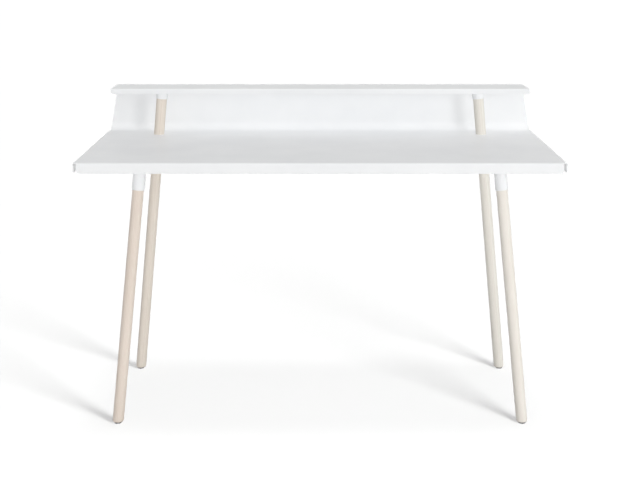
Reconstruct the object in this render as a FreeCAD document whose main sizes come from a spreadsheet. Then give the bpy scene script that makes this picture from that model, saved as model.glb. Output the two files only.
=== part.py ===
import FreeCAD, Part
import math
import os
import Sketcher

# Two-level desk: a folded sheet work surface with a raised shelf, on four leaning wooden legs.
# Millimetres. +Z is up, the desk faces -Y, and the origin is on the floor under its middle.

# Driving dimensions: name, value, meaning

DIMENSIONS = (
    ("desk_width", 1300, "work surface, over the side flanges"),
    ("desk_depth", 650, "front lip to the shelf's rear flange"),
    ("desk_height", 750, "floor to the work surface"),
    ("sheet_gauge", 2.5, "thickness of the folded sheet"),
    ("bend_radius", 2.5, "inside radius of each fold"),
    ("front_lip", 28, "height of the work surface's front lip"),
    ("side_flange", 26, "height of the work surface's side flanges"),
    ("lip_setback", 10, "front lip stops short of each side by this"),
    ("lip_corner", 9, "rounding of the lips' lower corners"),
    ("cove_radius", 25, "inside radius where the work surface turns up"),
    ("bend_relief", 1, "gap that lets neighbouring flanges fold"),
    ("seam_gap", 0.3, "back panel to the shelf's rear flange"),
    ("return_flange", 20, "flange at the back panel's top, under the shelf"),
    ("panel_inset", 4, "back panel narrower than the shelf on each side"),
    ("shelf_inset", 25, "shelf narrower than the work surface on each side"),
    ("shelf_overhang", 24, "shelf's front lip to the axis of the rear legs, under the shelf"),
    ("shelf_rise", 140, "work surface to the shelf's top"),
    ("shelf_lip", 16, "height of the shelf's front lip"),
    ("shelf_setback", 1, "shelf lip stops short of each end by this"),
    ("shelf_side_flange", 14, "height of the shelf's end flanges"),
    ("shelf_rear_flange", 15, "height of the shelf's rear flange"),
    ("leg_diameter", 31, "round wooden leg"),
    ("leg_side_inset", 164, "side of the desk to a leg's axis, at the work surface"),
    ("front_leg_inset", 134, "front edge to a front leg's axis, at the work surface"),
    ("rear_leg_inset", 102, "rear edge to a rear leg's axis, at the work surface"),
    ("splay_side", 6, "legs lean out to the sides, degrees"),
    ("splay_fore", 3, "legs lean out to the front or rear, degrees"),
    ("foot_rounding", 7, "rounding at the foot of each leg"),
    ("leg_hole_gap", 0.6, "leg to the hole in the work surface"),
    ("socket_fit", 0.3, "leg to the bore of its collar"),
    ("socket_wall", 1.5, "wall of the collars"),
    ("front_socket_length", 92, "underside of the work surface to the collar's end"),
    ("rear_socket_length", 70, "underside of the work surface to the collar's end"),
    ("cup_length", 29, "underside of the shelf to the collar's end"),
    ("plate_width", 96, "socket plate, along the desk"),
    ("plate_depth", 80, "socket plate, front to back"),
    ("plate_gauge", 4, "socket plate thickness"),
    ("plate_corner", 8, "rounding of the plates' corners"),
    ("cup_plate_width", 84, "cup plate, along the shelf"),
    ("cup_plate_gap", 0.5, "cup plate to the fold of the shelf's lip"),
    ("cup_plate_gauge", 3, "cup plate thickness"),
    ("stud_inset", 12, "plate edge to a stud"),
    ("stud_diameter", 6, "socket studs"),
    ("stud_length", 14, "socket studs"),
    ("nut_flats", 10, "socket nuts, across flats"),
    ("nut_height", 6, "socket nuts, with flange"),
    ("nut_flange", 13, "flange diameter of the socket nuts"),
    ("shelf_stud_diameter", 5, "shelf studs"),
    ("shelf_stud_length", 12, "shelf studs"),
    ("shelf_stud_inset", 75, "end of the shelf to the last stud along the back panel"),
    ("shelf_stud_edge", 8, "front edge of the return flange to a stud"),
    ("shelf_nut_flats", 8, "shelf nuts, across flats"),
    ("shelf_nut_height", 5, "shelf nuts, with flange"),
    ("shelf_nut_flange", 11, "flange diameter of the shelf nuts"),
    ("nut_flange_height", 1.2, "thickness of a nut's flange"),
    ("thread_fit", 0.3, "stud or screw to the hole around it"),
    ("screw_diameter", 5, "leg screws"),
    ("screw_bite", 11, "leg screws, depth in the wood"),
    ("screw_head_diameter", 9, "leg screws"),
    ("screw_head_height", 2.8, "leg screws"),
    ("screw_key_flats", 3, "hexagon recess in a screw's head"),
    ("screw_key_depth", 1.6, "hexagon recess in a screw's head"),
    ("screw_rise", 16, "collar's lower end to its screw, along the leg"),
    ("glide_diameter", 20, "glides under the legs"),
    ("glide_height", 3, "glides under the legs"),
    ("glide_rounding", 1, "lower edge of a glide"),
    ("nail_head_diameter", 8, "glide nails"),
    ("nail_head_base", 0.6, "floor to the underside of a nail's head"),
    ("nail_head_top", 1.8, "floor to the top of a nail's head"),
    ("nail_diameter", 2.5, "glide nails"),
    ("nail_length", 18, "floor to the tip of a nail"),
    ("rail_inset", 100, "side of the work surface to the end of a stiffening rail"),
    ("rail_height", 20, "stiffening rails"),
    ("rail_crown", 44, "width of a rail's crown"),
    ("rail_foot", 16, "width of a rail's foot on each side"),
    ("rail_gauge", 1.5, "thickness of the rails"),
)

# Expressions used by more than one piece

GAUGE = "dims.sheet_gauge"
FOLD = "(dims.bend_radius + dims.sheet_gauge)"
DESK_SIDE = "(dims.desk_width / 2)"
DESK_FRONT = "(-dims.desk_depth / 2)"
DESK_UNDER = "(dims.desk_height - dims.sheet_gauge)"
PLATE_UNDER = "(dims.desk_height - dims.sheet_gauge - dims.plate_gauge)"
SHELF_UNDER = "(dims.desk_height + dims.shelf_rise - dims.sheet_gauge)"
CUP_UNDER = "(dims.desk_height + dims.shelf_rise - dims.sheet_gauge - dims.cup_plate_gauge)"
PANEL_FACE = "(dims.desk_depth - 2 * dims.sheet_gauge - dims.seam_gap)"
RETURN_TOP = "(dims.front_lip + dims.shelf_rise - dims.sheet_gauge)"
RETURN_UNDER = "(dims.desk_height + dims.shelf_rise - 2 * dims.sheet_gauge)"
LEG_RADIUS = "(dims.leg_diameter / 2)"
BORE_RADIUS = "(dims.leg_diameter / 2 + dims.socket_fit)"
COLLAR_RADIUS = "(dims.leg_diameter / 2 + dims.socket_fit + dims.socket_wall)"
RUN_SIDE = "tan(dims.splay_side)"
RUN_FORE = "tan(dims.splay_fore)"
LEAN = f"atan(sqrt({RUN_SIDE}^2 + {RUN_FORE}^2))"
STRETCH = f"sqrt(1 + {RUN_SIDE}^2 + {RUN_FORE}^2)"

SHELF_SIDE = "(dims.desk_width / 2 - dims.shelf_inset)"
SHELF_DROP = "(dims.shelf_rise - dims.sheet_gauge)"
SHELF_DEPTH = f"(dims.rear_leg_inset + {SHELF_DROP} * {RUN_FORE} + dims.shelf_overhang)"
SHELF_STUD_SPAN = f"(2 * ({SHELF_SIDE} - dims.shelf_stud_inset))"
LEG_SPAN = "(dims.desk_depth - dims.front_leg_inset - dims.rear_leg_inset)"

TOUCH = 0.01
SIDES = (("left", -1), ("right", 1))
CORNERS = ((-1, -1), (1, -1), (1, 1), (-1, 1))
SHELF_STUD_PLACES = (-0.5, -0.3, -0.1, 0.1, 0.3, 0.5)
RAILS = (("front_stiffener", "1 / 3"), ("rear_stiffener", "2 / 3"))

doc = FreeCAD.newDocument("double_desk")
dims = doc.addObject("Spreadsheet::Sheet", "dims")
for row, (alias, size, meaning) in enumerate(DIMENSIONS, start=1):
    dims.set(f"A{row}", alias)
    dims.set(f"B{row}", str(size))
    dims.set(f"C{row}", meaning)
    dims.setAlias(f"B{row}", alias)
doc.recompute()


# Placements written as expressions

def number(expression):
    return float(dims.evalExpression(expression))


def at(x, y, z):
    return f"placement(vector({x}; {y}; {z}); rotation(vector(0; 0; 1); 0))"


def along(axis, distance):
    return f"{axis}.Placement * {at(0, 0, distance)}"


def across(axis, radial, distance):
    turn = f"placement(vector(0; {radial}; {distance}); rotation(vector(1; 0; 0); -90))"
    return f"{axis}.Placement * {turn}"


def bind(item, **expressions):
    for name, expression in expressions.items():
        item.setExpression(name, expression)
    return item


# Solids placed by expressions

def cylinder(name, radius, height, where):
    item = doc.addObject("Part::Cylinder", name)
    return bind(item, Radius=radius, Height=height, Placement=where)


def box(name, length, width, height, where):
    item = doc.addObject("Part::Box", name)
    return bind(item, Length=length, Width=width, Height=height, Placement=where)


def hexagon(name, flats, height, where):
    item = doc.addObject("Part::Prism", name)
    item.Polygon = 6
    return bind(item, Circumradius=f"{flats} / sqrt(3)", Height=height, Placement=where)


def combine(kind, name, base, tool):
    item = doc.addObject(kind, name)
    item.Base = base
    item.Tool = tool
    return item


def cut(name, base, tool):
    return combine("Part::Cut", name, base, tool)


def fuse(name, base, tool):
    return combine("Part::Fuse", name, base, tool)


def common(name, base, tool):
    return combine("Part::Common", name, base, tool)


def group(name, members):
    item = doc.addObject("Part::Compound", name)
    item.Links = members
    return item


# Sketched features

def new_body(name, where):
    body = doc.addObject("PartDesign::Body", name)
    return bind(body, Placement=where)


def new_sketch(body, name, plane, offset):
    sketch = body.newObject("Sketcher::SketchObject", name)
    support = next(item for item in body.Origin.OriginFeatures if item.Role == plane)
    sketch.AttachmentSupport = [(support, "")]
    sketch.MapMode = "FlatFace"
    sketch.setExpression("AttachmentOffset.Base.z", offset)
    return sketch


def fix_point(sketch, geometry, position, x, y):
    for kind, expression in (("DistanceX", x), ("DistanceY", y)):
        limit = Sketcher.Constraint(kind, -1, 1, geometry, position, number(expression))
        sketch.setExpression(f"Constraints[{sketch.addConstraint(limit)}]", expression)


def round_corner(sketch, before, after, vertex, start, end, centre, radius):
    angles = [math.atan2(point.y - centre.y, point.x - centre.x) for point in (start, end)]
    turns_left = (angles[1] - angles[0]) % (2 * math.pi) < math.pi
    circle = Part.Circle(centre, FreeCAD.Vector(0, 0, 1), number(radius))
    low, high = angles if turns_left else reversed(angles)
    arc = sketch.addGeometry(Part.ArcOfCircle(circle, low, high), False)
    first, last = (1, 2) if turns_left else (2, 1)
    sketch.addConstraint(Sketcher.Constraint("Tangent", before, 2, arc, first))
    sketch.addConstraint(Sketcher.Constraint("Tangent", arc, last, after, 1))
    sketch.addConstraint(Sketcher.Constraint("PointOnObject", vertex, 1, before))
    sketch.addConstraint(Sketcher.Constraint("PointOnObject", vertex, 1, after))
    limit = Sketcher.Constraint("Radius", arc, number(radius))
    sketch.setExpression(f"Constraints[{sketch.addConstraint(limit)}]", radius)


def outline(body, name, plane, corners, offset="0"):
    """A closed outline through corners (x, y) or, where it is rounded, (x, y, radius)."""
    sketch = new_sketch(body, name, plane, offset)
    points = [FreeCAD.Vector(number(corner[0]), number(corner[1]), 0) for corner in corners]
    count = len(points)
    starts = list(points)
    ends = points[1:] + points[:1]
    centres = [None] * count
    for index, corner in enumerate(corners):
        if len(corner) == 2:
            continue
        back = (points[index - 1] - points[index]).normalize()
        ahead = (points[(index + 1) % count] - points[index]).normalize()
        half = back.getAngle(ahead) / 2
        radius = number(corner[2])
        ends[index - 1] = points[index] + back * (radius / math.tan(half))
        starts[index] = points[index] + ahead * (radius / math.tan(half))
        centres[index] = points[index] + (back + ahead).normalize() * (radius / math.sin(half))
    lines = []
    for start, end in zip(starts, ends):
        lines.append(sketch.addGeometry(Part.LineSegment(start, end), False))
    for index, corner in enumerate(corners):
        vertex = sketch.addGeometry(Part.Point(points[index]), True)
        before = lines[index - 1]
        after = lines[index]
        if len(corner) == 2:
            sketch.addConstraint(Sketcher.Constraint("Coincident", before, 2, vertex, 1))
            sketch.addConstraint(Sketcher.Constraint("Coincident", after, 1, vertex, 1))
        else:
            round_corner(sketch, before, after, vertex, ends[index - 1], starts[index],
                         centres[index], corner[2])
        fix_point(sketch, vertex, 1, corner[0], corner[1])
    return sketch


def circles(body, name, plane, centres, radius, offset="0"):
    sketch = new_sketch(body, name, plane, offset)
    normal = FreeCAD.Vector(0, 0, 1)
    for x, y in centres:
        centre = FreeCAD.Vector(number(x), number(y), 0)
        ring = sketch.addGeometry(Part.Circle(centre, normal, number(radius)), False)
        fix_point(sketch, ring, 3, x, y)
        limit = Sketcher.Constraint("Radius", ring, number(radius))
        sketch.setExpression(f"Constraints[{sketch.addConstraint(limit)}]", radius)
    return sketch


def extrude(body, kind, name, sketch, length, midplane=False, reverse=False):
    item = body.newObject(kind, name)
    item.Profile = sketch
    item.Midplane = midplane
    item.Reversed = reverse
    bind(item, Length=length)
    sketch.Visibility = False
    body.Tip = item
    doc.recompute()
    return item


def pad(body, name, sketch, length, midplane=False, reverse=False):
    return extrude(body, "PartDesign::Pad", name, sketch, length, midplane, reverse)


def pocket(body, name, sketch, length, midplane=False, reverse=False):
    return extrude(body, "PartDesign::Pocket", name, sketch, length, midplane, reverse)


# Folded sheets: flanges at both ends and a front lip that stops short of them

def fold_ends(body, half_width, top, drop, start, end):
    for side, sign in SIDES:
        root = f"{sign} * ({half_width} - {FOLD} - {GAUGE})"
        corners = (
            (root, top),
            (f"{sign} * {half_width}", top, FOLD),
            (f"{sign} * {half_width}", f"{top} - {drop}"),
            (f"{sign} * ({half_width} - {GAUGE})", f"{top} - {drop}"),
            (f"{sign} * ({half_width} - {GAUGE})", f"{top} - {GAUGE}", "dims.bend_radius"),
            (root, f"{top} - {GAUGE}"),
        )
        section = outline(body, f"{body.Name}_flange_{side}", "XZ_Plane", corners, f"-({start})")
        pad(body, f"{body.Name}_fold_{side}", section, f"{end} - ({start})", reverse=True)


def trim_lip(body, half_width, top, setback):
    for side, sign in SIDES:
        lip_end = f"({half_width} - {setback})"
        corners = (
            (f"{sign} * {lip_end}", f"{top} + {GAUGE}"),
            (f"{sign} * {lip_end}", "0", "dims.lip_corner"),
            (f"{sign} * ({lip_end} - dims.lip_corner - {GAUGE})", "0"),
            (f"{sign} * ({lip_end} - dims.lip_corner - {GAUGE})", f"-{GAUGE}"),
            (f"{sign} * ({half_width} + {GAUGE})", f"-{GAUGE}"),
            (f"{sign} * ({half_width} + {GAUGE})", f"{top} + {GAUGE}"),
        )
        section = outline(body, f"{body.Name}_notch_{side}", "XZ_Plane", corners)
        pocket(body, f"{body.Name}_trim_{side}", section, FOLD)


def make_desktop_sheet():
    body = new_body("desktop_sheet", at(0, DESK_FRONT, "dims.desk_height - dims.front_lip"))
    top = "dims.front_lip"
    profile = (
        ("0", "0"),
        ("0", top, FOLD),
        (PANEL_FACE, top, "dims.cove_radius"),
        (PANEL_FACE, f"{RETURN_TOP} - {GAUGE}", "dims.bend_radius"),
        (f"{PANEL_FACE} + {GAUGE} - dims.return_flange", f"{RETURN_TOP} - {GAUGE}"),
        (f"{PANEL_FACE} + {GAUGE} - dims.return_flange", RETURN_TOP),
        (f"{PANEL_FACE} + {GAUGE}", RETURN_TOP, FOLD),
        (f"{PANEL_FACE} + {GAUGE}", f"{top} - {GAUGE}", f"dims.cove_radius + {GAUGE}"),
        (GAUGE, f"{top} - {GAUGE}", "dims.bend_radius"),
        (GAUGE, "0"),
    )
    section = outline(body, "desktop_profile", "YZ_Plane", profile)
    pad(body, "desktop_fold", section, f"dims.desk_width - 2 * {FOLD}", midplane=True)
    flange_end = f"({PANEL_FACE} - dims.cove_radius - dims.bend_relief)"
    fold_ends(body, DESK_SIDE, top, "dims.side_flange", FOLD, flange_end)
    trim_lip(body, DESK_SIDE, top, "dims.lip_setback")
    panel_top = f"({SHELF_SIDE} - dims.panel_inset)"
    for side, sign in SIDES:
        corners = (
            (f"{sign} * ({DESK_SIDE} - {FOLD})", top),
            (f"{sign} * {panel_top}", RETURN_TOP),
            (f"{sign} * {DESK_SIDE}", RETURN_TOP),
            (f"{sign} * {DESK_SIDE}", top),
        )
        section = outline(body, f"panel_taper_{side}", "XZ_Plane", corners)
        pocket(body, f"panel_trim_{side}", section, "dims.desk_depth")
    hole_y = f"dims.desk_depth - dims.rear_leg_inset + {GAUGE} / 2 * {RUN_FORE}"
    hole_x = f"({DESK_SIDE} - dims.leg_side_inset + {GAUGE} / 2 * {RUN_SIDE})"
    holes = [(f"{sign} * {hole_x}", hole_y) for side, sign in SIDES]
    section = circles(body, "leg_holes", "XY_Plane", holes, f"{LEG_RADIUS} + dims.leg_hole_gap")
    pocket(body, "leg_openings", section, "dims.front_lip", reverse=True)
    stud_y = f"{PANEL_FACE} + {GAUGE} - dims.return_flange + dims.shelf_stud_edge"
    holes = [(f"{place} * {SHELF_STUD_SPAN}", stud_y) for place in SHELF_STUD_PLACES]
    radius = "dims.shelf_stud_diameter / 2 + dims.thread_fit"
    section = circles(body, "return_holes", "XY_Plane", holes, radius, RETURN_TOP)
    pocket(body, "return_openings", section, GAUGE)
    return body


def make_shelf_sheet():
    height = "dims.desk_height + dims.shelf_rise - dims.shelf_lip"
    body = new_body("shelf_sheet", at(0, f"dims.desk_depth / 2 - {SHELF_DEPTH}", height))
    top = "dims.shelf_lip"
    profile = (
        ("0", "0"),
        ("0", top, FOLD),
        (SHELF_DEPTH, top, FOLD),
        (SHELF_DEPTH, f"{top} - dims.shelf_rear_flange"),
        (f"{SHELF_DEPTH} - {GAUGE}", f"{top} - dims.shelf_rear_flange"),
        (f"{SHELF_DEPTH} - {GAUGE}", f"{top} - {GAUGE}", "dims.bend_radius"),
        (GAUGE, f"{top} - {GAUGE}", "dims.bend_radius"),
        (GAUGE, "0"),
    )
    section = outline(body, "shelf_profile", "YZ_Plane", profile)
    pad(body, "shelf_fold", section, f"2 * ({SHELF_SIDE} - dims.shelf_setback)", midplane=True)
    for side, sign in SIDES:
        root = f"{sign} * ({SHELF_SIDE} - {FOLD})"
        corners = (
            (root, FOLD),
            (f"{sign} * {SHELF_SIDE}", FOLD),
            (f"{sign} * {SHELF_SIDE}", f"{SHELF_DEPTH} + {GAUGE}"),
            (root, f"{SHELF_DEPTH} + {GAUGE}"),
        )
        section = outline(body, f"shelf_end_{side}", "XY_Plane", corners)
        pocket(body, f"shelf_clip_{side}", section, top, reverse=True)
    flange_end = f"({SHELF_DEPTH} - 2 * {GAUGE} - dims.seam_gap - dims.bend_relief)"
    fold_ends(body, SHELF_SIDE, top, "dims.shelf_side_flange", FOLD, flange_end)
    trim_lip(body, SHELF_SIDE, top, "dims.shelf_setback")
    return body


# Stiffening rails: a hat section whose two feet lie against the sheet

def make_rail(name, share):
    spot = f"{DESK_FRONT} + dims.front_leg_inset + {share} * {LEG_SPAN}"
    body = new_body(name, at(0, spot, DESK_UNDER))
    inner = "(dims.rail_crown / 2 - dims.rail_gauge)"
    outer = "dims.rail_crown / 2"
    tip = "(dims.rail_crown / 2 + dims.rail_foot)"
    gauge = "dims.rail_gauge"
    tight = "dims.bend_radius"
    wide = "dims.bend_radius + dims.rail_gauge"
    profile = (
        (f"-{tip}", "0"),
        (f"-{inner}", "0", wide),
        (f"-{inner}", f"{gauge} - dims.rail_height", tight),
        (inner, f"{gauge} - dims.rail_height", tight),
        (inner, "0", wide),
        (tip, "0"),
        (tip, f"-{gauge}"),
        (outer, f"-{gauge}", tight),
        (outer, "-dims.rail_height", wide),
        (f"-{outer}", "-dims.rail_height", wide),
        (f"-{outer}", f"-{gauge}", tight),
        (f"-{tip}", f"-{gauge}"),
    )
    section = outline(body, f"{name}_profile", "YZ_Plane", profile)
    pad(body, f"{name}_fold", section, "dims.desk_width - 2 * dims.rail_inset", midplane=True)
    return body


# Leg axes: each starts on the floor and leans in towards the work surface

def leg_spot(sign, end, height):
    """Where the axis of a leg passes a height; end is -1 for the front pair and 1 for the rear."""
    drop = f"(dims.desk_height - {height})"
    inset = "dims.front_leg_inset" if end < 0 else "dims.rear_leg_inset"
    x = f"{sign} * ({DESK_SIDE} - dims.leg_side_inset + {drop} * {RUN_SIDE})"
    y = f"{end} * (dims.desk_depth / 2 - {inset} + {drop} * {RUN_FORE})"
    return x, y


def make_axis(name, sign, end):
    x, y = leg_spot(sign, end, "0")
    turn = f"rotation(vector({end} * {RUN_FORE}; {-sign} * {RUN_SIDE}; 0); {LEAN})"
    axis = doc.addObject("Part::LocalCoordinateSystem", name)
    axis.setExpression("Placement", f"placement(vector({x}; {y}; 0); {turn})")
    return axis.Name


# Fasteners

def screw_height(collar_end):
    return f"({collar_end} * {STRETCH} + dims.screw_rise)"


def make_drill(name, axis, collar_end):
    reach = f"({LEG_RADIUS} - dims.screw_bite - dims.thread_fit)"
    where = across(axis, reach, screw_height(collar_end))
    return cylinder(name, "dims.screw_diameter / 2 + dims.thread_fit",
                    f"{COLLAR_RADIUS} - {reach} + dims.socket_wall", where)


def make_screw(name, axis, collar_end):
    height = screw_height(collar_end)
    tip = f"({LEG_RADIUS} - dims.screw_bite)"
    seat = f"({COLLAR_RADIUS} + dims.socket_fit)"
    face = f"({seat} + dims.screw_head_height)"
    shank = cylinder(f"{name}_shank", "dims.screw_diameter / 2", f"{seat} - {tip}",
                     across(axis, tip, height))
    head = cylinder(f"{name}_head", "dims.screw_head_diameter / 2", "dims.screw_head_height",
                    across(axis, seat, height))
    key = hexagon(f"{name}_key", "dims.screw_key_flats", "dims.screw_key_depth + 1",
                  across(axis, f"{face} - dims.screw_key_depth", height))
    return cut(name, fuse(f"{name}_blank", shank, head), key)


def make_stud(name, size, x, y, top):
    return cylinder(name, f"dims.{size}_diameter / 2", f"dims.{size}_length",
                    at(x, y, f"{top} - dims.{size}_length"))


def make_nut(name, size, stud, x, y, top):
    base = f"{top} - dims.{size}_height"
    flange = cylinder(f"{name}_flange", f"dims.{size}_flange / 2", "dims.nut_flange_height",
                      at(x, y, f"{top} - dims.nut_flange_height"))
    body = hexagon(f"{name}_body", f"dims.{size}_flats", f"dims.{size}_height", at(x, y, base))
    bore = cylinder(f"{name}_bore", f"dims.{stud}_diameter / 2 + dims.thread_fit",
                    f"dims.{size}_height", at(x, y, base))
    return cut(name, fuse(f"{name}_blank", flange, body), bore)


def stud_hole(name, size, x, y, plate_under, gauge):
    return cylinder(name, f"dims.{size}_diameter / 2 + dims.thread_fit", gauge, at(x, y, plate_under))


# Collars: a sleeve along the leg's axis under a plate that lies against the sheet

def make_plate(name, x, y, under, width, depth, gauge):
    body = new_body(name, at(x, y, under))
    corners = [(f"{a} * {width} / 2", f"{b} * {depth} / 2", "dims.plate_corner") for a, b in CORNERS]
    pad(body, f"{name}_pad", outline(body, f"{name}_outline", "XY_Plane", corners), gauge)
    return body


def make_collar(name, axis, collar_end, plate, slab, drills, through):
    start = f"{collar_end} * {STRETCH}"
    reach = "dims.desk_height"
    outer = cylinder(f"{name}_outer", COLLAR_RADIUS, reach, along(axis, start))
    bore = cylinder(f"{name}_bore", BORE_RADIUS, f"2 * {reach}", along(axis, f"{start} - {reach}"))
    if through:
        blank = cut(f"{name}_blank", fuse(f"{name}_joined", plate,
                                          common(f"{name}_sleeve", outer, slab)), bore)
    else:
        sleeve = cut(f"{name}_sleeve", outer, bore)
        blank = fuse(f"{name}_blank", plate, common(f"{name}_trimmed", sleeve, slab))
    return cut(name, blank, drills)


def make_slab(name, base, top):
    return box(name, "2 * dims.desk_width", "2 * dims.desk_depth", f"{top} - {base}",
               at("-dims.desk_width", "-dims.desk_depth", base))


# Legs: round stock cut level at both ends, rounded at the foot

def make_leg(name, axis, slab, top, drills):
    margin = "dims.leg_diameter"
    stock = cylinder(f"{name}_stock", LEG_RADIUS, f"{top} * {STRETCH} + 2 * {margin}",
                     along(axis, f"-{margin}"))
    level = common(f"{name}_level", stock, slab)
    doc.recompute()
    foot = number("dims.glide_height")
    rims = [index for index, edge in enumerate(level.Shape.Edges, start=1)
            if abs(edge.BoundBox.ZMax - foot) < TOUCH]
    radius = number("dims.foot_rounding")
    rounded = doc.addObject("Part::Fillet", f"{name}_rounded")
    rounded.Base = level
    rounded.Edges = [(index, radius, radius) for index in rims]
    return cut(name, rounded, drills)


# Glides: a low disc, hollowed underneath for the head of its nail

def foot_spot(axis):
    return f"{axis}.Placement.Base.x", f"{axis}.Placement.Base.y"


def make_glide(name, axis):
    x, y = foot_spot(axis)
    body = new_body(name, at(x, y, 0))
    hole = "(dims.nail_diameter / 2 + dims.thread_fit)"
    recess = "(dims.nail_head_diameter / 2 + dims.thread_fit)"
    profile = (
        (hole, "dims.nail_head_top"),
        (hole, "dims.glide_height"),
        ("dims.glide_diameter / 2", "dims.glide_height"),
        ("dims.glide_diameter / 2", "0", "dims.glide_rounding"),
        (recess, "0"),
        (recess, "dims.nail_head_top"),
    )
    section = outline(body, f"{name}_profile", "XZ_Plane", profile)
    turned = body.newObject("PartDesign::Revolution", f"{name}_turned")
    turned.Profile = section
    turned.ReferenceAxis = (section, ["V_Axis"])
    body.Tip = turned
    return body


def make_nail(name, axis):
    x, y = foot_spot(axis)
    head = cylinder(f"{name}_head", "dims.nail_head_diameter / 2",
                    "dims.nail_head_top - dims.nail_head_base", at(x, y, "dims.nail_head_base"))
    shank = cylinder(f"{name}_shank", "dims.nail_diameter / 2",
                     "dims.nail_length - dims.nail_head_base", at(x, y, "dims.nail_head_base"))
    return fuse(name, head, shank)


def nail_hole(name, axis):
    x, y = foot_spot(axis)
    return cylinder(name, "dims.nail_diameter / 2 + dims.thread_fit",
                    "dims.nail_length + dims.thread_fit", at(x, y, 0))


# The desk, piece by piece

nodes = [make_desktop_sheet(), make_shelf_sheet()]
for rail, share in RAILS:
    nodes.append(make_rail(rail, share))

socket_studs = []
socket_nuts = []
shelf_studs = []
shelf_nuts = []
leg_screws = []
glide_nails = []

slabs = {
    "front": make_slab("front_leg_slab", "dims.glide_height", PLATE_UNDER),
    "rear": make_slab("rear_leg_slab", "dims.glide_height", CUP_UNDER),
    "desk": make_slab("rear_socket_slab", "dims.glide_height", DESK_UNDER),
}
collar_ends = {
    "front_socket": f"({DESK_UNDER} - dims.front_socket_length)",
    "rear_socket": f"({DESK_UNDER} - dims.rear_socket_length)",
    "shelf_cup": f"({SHELF_UNDER} - dims.cup_length)",
}


def add_socket(name, axis, x, y, collar_end, slab, screw_drill, through):
    plate = make_plate(f"{name}_plate", x, y, PLATE_UNDER, "dims.plate_width", "dims.plate_depth",
                       "dims.plate_gauge")
    drills = [screw_drill]
    for a, b in CORNERS:
        stud_x = f"{x} + {a} * (dims.plate_width / 2 - dims.stud_inset)"
        stud_y = f"{y} + {b} * (dims.plate_depth / 2 - dims.stud_inset)"
        label = f"{name}_{len(drills)}"
        drills.append(stud_hole(f"{label}_hole", "stud", stud_x, stud_y, PLATE_UNDER, "dims.plate_gauge"))
        socket_studs.append(make_stud(f"{label}_stud", "stud", stud_x, stud_y, DESK_UNDER))
        socket_nuts.append(make_nut(f"{label}_nut", "nut", "stud", stud_x, stud_y, PLATE_UNDER))
    nodes.append(make_collar(name, axis, collar_end, plate, slab, group(f"{name}_drills", drills), through))


def add_cup(name, axis, x, y, collar_end, slab, screw_drill):
    plate_depth = f"(2 * (dims.shelf_overhang - {FOLD} - dims.cup_plate_gap))"
    plate = make_plate(f"{name}_plate", x, y, CUP_UNDER, "dims.cup_plate_width", plate_depth,
                       "dims.cup_plate_gauge")
    drills = [screw_drill]
    for a in (-1, 1):
        stud_x = f"{x} + {a} * (dims.cup_plate_width / 2 - dims.stud_inset)"
        label = f"{name}_{len(drills)}"
        drills.append(stud_hole(f"{label}_hole", "shelf_stud", stud_x, y, CUP_UNDER, "dims.cup_plate_gauge"))
        shelf_studs.append(make_stud(f"{label}_stud", "shelf_stud", stud_x, y, SHELF_UNDER))
        shelf_nuts.append(make_nut(f"{label}_nut", "shelf_nut", "shelf_stud", stud_x, y, CUP_UNDER))
    nodes.append(make_collar(name, axis, collar_end, plate, slab, group(f"{name}_drills", drills), False))


for side, sign in SIDES:
    axis = make_axis(f"front_axis_{side}", sign, -1)
    end = collar_ends["front_socket"]
    drill = make_drill(f"front_drill_{side}", axis, end)
    leg_screws.append(make_screw(f"front_screw_{side}", axis, end))
    glide_nails.append(make_nail(f"front_nail_{side}", axis))
    holes = group(f"front_leg_holes_{side}", [drill, nail_hole(f"front_nail_hole_{side}", axis)])
    nodes.append(make_leg(f"front_leg_{side}", axis, slabs["front"], PLATE_UNDER, holes))
    nodes.append(make_glide(f"front_glide_{side}", axis))
    x, y = leg_spot(sign, -1, PLATE_UNDER)
    add_socket(f"front_socket_{side}", axis, x, y, end, slabs["front"], drill, False)

for side, sign in SIDES:
    axis = make_axis(f"rear_axis_{side}", sign, 1)
    low_end = collar_ends["rear_socket"]
    high_end = collar_ends["shelf_cup"]
    low_drill = make_drill(f"rear_drill_{side}", axis, low_end)
    high_drill = make_drill(f"cup_drill_{side}", axis, high_end)
    leg_screws.append(make_screw(f"rear_screw_{side}", axis, low_end))
    leg_screws.append(make_screw(f"cup_screw_{side}", axis, high_end))
    glide_nails.append(make_nail(f"rear_nail_{side}", axis))
    nail_drill = nail_hole(f"rear_nail_hole_{side}", axis)
    holes = group(f"rear_leg_holes_{side}", [low_drill, high_drill, nail_drill])
    nodes.append(make_leg(f"rear_leg_{side}", axis, slabs["rear"], CUP_UNDER, holes))
    nodes.append(make_glide(f"rear_glide_{side}", axis))
    x, y = leg_spot(sign, 1, PLATE_UNDER)
    add_socket(f"rear_socket_{side}", axis, x, y, low_end, slabs["desk"], low_drill, True)
    x, y = leg_spot(sign, 1, CUP_UNDER)
    add_cup(f"shelf_cup_{side}", axis, x, y, high_end, slabs["rear"], high_drill)

# Studs along the back panel's return flange

stud_y = f"{DESK_FRONT} + {PANEL_FACE} + {GAUGE} - dims.return_flange + dims.shelf_stud_edge"
for index, place in enumerate(SHELF_STUD_PLACES, start=1):
    stud_x = f"{place} * {SHELF_STUD_SPAN}"
    stud = make_stud(f"return_stud_{index}", "shelf_stud", stud_x, stud_y, SHELF_UNDER)
    nut = make_nut(f"return_nut_{index}", "shelf_nut", "shelf_stud", stud_x, stud_y, RETURN_UNDER)
    shelf_studs.append(stud)
    shelf_nuts.append(nut)

for name, members in (
    ("socket_studs", socket_studs),
    ("socket_nuts", socket_nuts),
    ("shelf_studs", shelf_studs),
    ("shelf_nuts", shelf_nuts),
    ("leg_screws", leg_screws),
    ("glide_nails", glide_nails),
):
    nodes.append(group(name, members))

doc.recompute()

# Every object must have built before any file is written

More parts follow.
